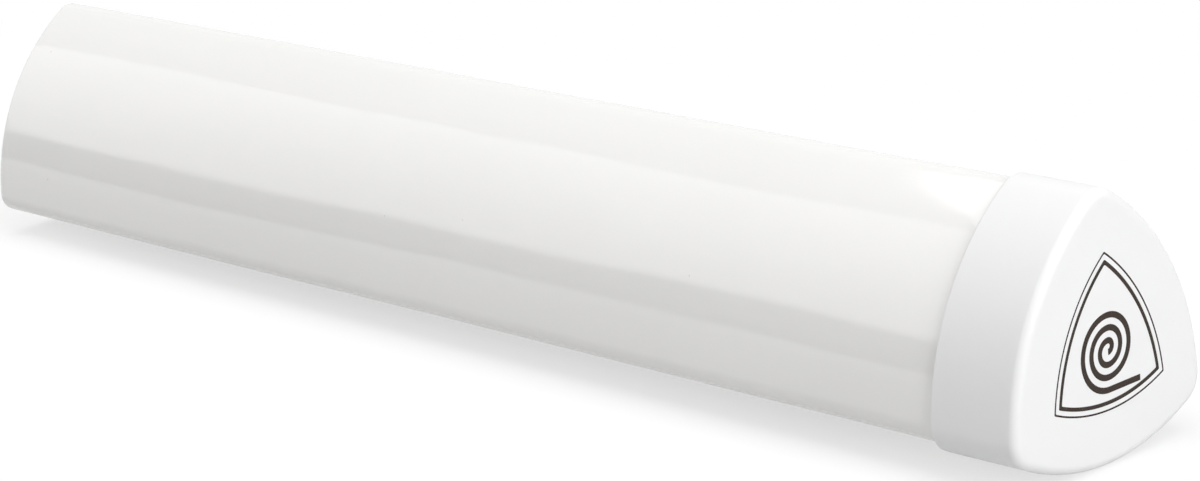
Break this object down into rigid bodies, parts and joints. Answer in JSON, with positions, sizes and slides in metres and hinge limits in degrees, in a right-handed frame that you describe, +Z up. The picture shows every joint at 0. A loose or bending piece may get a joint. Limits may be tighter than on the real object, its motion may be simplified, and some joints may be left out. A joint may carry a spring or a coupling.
{
  "type": "playmat tube",
  "caption": "Hollow storage tube for a rolled mat, with a rounded triangular section, a closed far end and a push-on cap over its open end.",
  "frame": {"origin": "on the surface the tube lies on, under the middle of its length and width", "axes": "+X along the tube towards the cap, +Z up through the upper corner of the section, one bulged side down"},
  "size_m": [0.379, 0.0666, 0.066],
  "materials": {
    "tube_plastic": "polished white plastic",
    "cap_plastic": "satin white plastic",
    "print_ink": "black pad-printed ink"
  },
  "bodies": {
    "tube": {"tube_body": "tube_plastic"},
    "cap": {"cap": "cap_plastic"}
  },
  "joints": [
    {"name": "cap_slide", "type": "slide", "parent": "tube", "child": "cap", "axis": [1, 0, 0], "range_m": [0, 0.1]}
  ]
}
